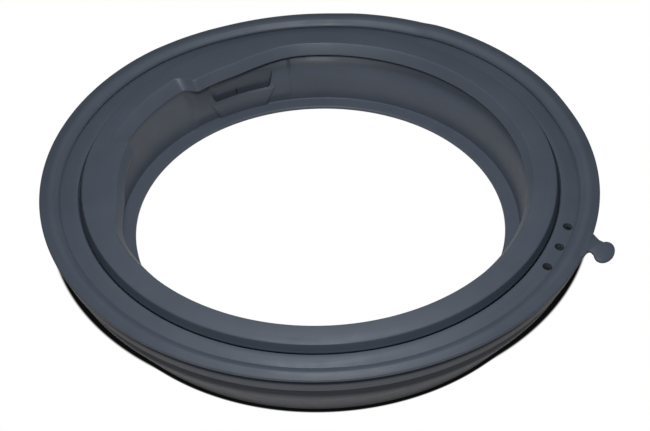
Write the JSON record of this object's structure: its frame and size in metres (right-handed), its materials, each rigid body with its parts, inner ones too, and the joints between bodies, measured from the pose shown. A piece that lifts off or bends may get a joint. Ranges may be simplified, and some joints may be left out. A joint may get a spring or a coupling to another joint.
{
  "type": "washing machine door seal",
  "caption": "Moulded rubber bellows seal for a front-loading washing machine's door, with a glass lip, panel slot, drain holes, inlet pocket and pull tab.",
  "frame": {"origin": "centre of the rear face, which seats on the tub, on the seal's axis", "axes": "+Z runs along the seal's axis towards the door, and +Y points to the top of the machine; the drain holes and the pull tab are at -Y"},
  "size_m": [0.401, 0.4197, 0.0638],
  "materials": {
    "rubber": "satin, blue-grey moulded rubber"
  },
  "bodies": {
    "root": {"door_seal": "rubber"}
  },
  "joints": []
}
